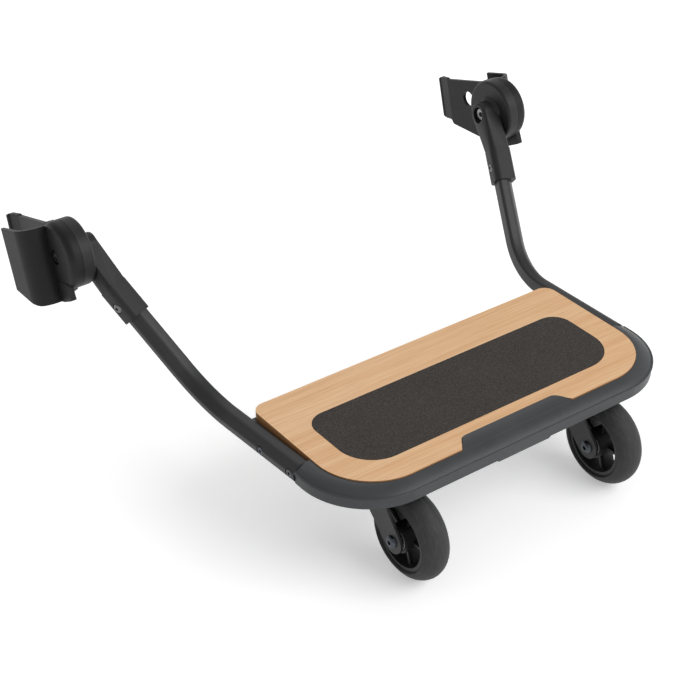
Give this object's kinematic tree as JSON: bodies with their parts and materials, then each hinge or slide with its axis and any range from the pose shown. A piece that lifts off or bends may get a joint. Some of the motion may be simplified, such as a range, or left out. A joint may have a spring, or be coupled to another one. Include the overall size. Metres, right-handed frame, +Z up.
{
  "type": "buggy board",
  "caption": "Ride-along stroller board: a wooden deck with a grip pad in a moulded frame, castor wheels under the front, and raised arms that end in pivoting clamps.",
  "frame": {"origin": "on the floor under the tyres, midway across the board and midway between its front and rear ends", "axes": "+Z up; +X across the board to the right as the child stands facing the stroller; +Y toward the stroller, so the arms and clamps are at +Y and the wheels at -Y"},
  "size_m": [0.5448, 0.445, 0.2347],
  "materials": {
    "wood_deck": "satin lacquer",
    "grit_grip": "rough grit",
    "slate_frame": "satin, fine moulded grain",
    "arm_plastic": "satin, fine moulded grain",
    "black_plastic": "satin moulded",
    "pad_rubber": "matte",
    "dark_steel": "blued",
    "bright_steel": "zinc plated",
    "fork_black": "powder coat",
    "rim_black": "satin moulded",
    "tyre_rubber": "matte"
  },
  "bodies": {
    "board": {"deck_panel": "wood_deck", "grip_pad": "grit_grip", "frame_tray": "slate_frame", "arm_left": "arm_plastic", "arm_right": "arm_plastic", "arm_screw_front_left": "dark_steel", "arm_screw_front_right": "dark_steel", "arm_screw_rear_left": "dark_steel", "arm_screw_rear_right": "dark_steel", "sleeve_left": "black_plastic", "sleeve_right": "black_plastic", "sleeve_bolt_left": "bright_steel", "sleeve_bolt_right": "bright_steel", "pivot_bolt_left": "dark_steel", "pivot_bolt_right": "dark_steel", "pivot_spring_left": "bright_steel", "pivot_spring_right": "bright_steel", "pivot_nut_left": "dark_steel", "pivot_nut_right": "dark_steel", "stem_left": "dark_steel", "stem_right": "dark_steel", "swivel_bearing_left": "bright_steel", "swivel_bearing_right": "bright_steel", "deck_screws": "bright_steel"},
    "clamp_left_body": {"clamp_left": "black_plastic", "jaw_pad_left": "pad_rubber"},
    "castor_left": {"fork_left": "fork_black", "axle_bolt_left": "bright_steel", "axle_nut_left": "bright_steel"},
    "wheel_left": {"rim_left": "rim_black", "tyre_left": "tyre_rubber", "bearing_inner_left": "bright_steel", "bearing_outer_left": "bright_steel"},
    "clamp_right_body": {"clamp_right": "black_plastic", "jaw_pad_right": "pad_rubber"},
    "castor_right": {"fork_right": "fork_black", "axle_bolt_right": "bright_steel", "axle_nut_right": "bright_steel"},
    "wheel_right": {"rim_right": "rim_black", "tyre_right": "tyre_rubber", "bearing_inner_right": "bright_steel", "bearing_outer_right": "bright_steel"}
  },
  "joints": [
    {"name": "clamp_left_tilt", "type": "hinge", "parent": "board", "child": "clamp_left_body", "pos_m": [-0.22606, 0.12467, 0.20466], "axis": [1, 0, 0], "range_deg": [-45, 110]},
    {"name": "castor_left_swivel", "type": "hinge", "parent": "board", "child": "castor_left", "pos_m": [-0.107, -0.14454, 0.0832], "axis": [0, 0, 1], "continuous": true},
    {"name": "wheel_left_spin", "type": "hinge", "parent": "castor_left", "child": "wheel_left", "pos_m": [-0.107, -0.18154, 0.041], "axis": [1, 0, 0], "continuous": true},
    {"name": "clamp_right_tilt", "type": "hinge", "parent": "board", "child": "clamp_right_body", "pos_m": [0.22606, 0.12467, 0.20466], "axis": [1, 0, 0], "range_deg": [-45, 110]},
    {"name": "castor_right_swivel", "type": "hinge", "parent": "board", "child": "castor_right", "pos_m": [0.107, -0.14454, 0.0832], "axis": [0, 0, 1], "continuous": true},
    {"name": "wheel_right_spin", "type": "hinge", "parent": "castor_right", "child": "wheel_right", "pos_m": [0.107, -0.18154, 0.041], "axis": [1, 0, 0], "continuous": true}
  ]
}
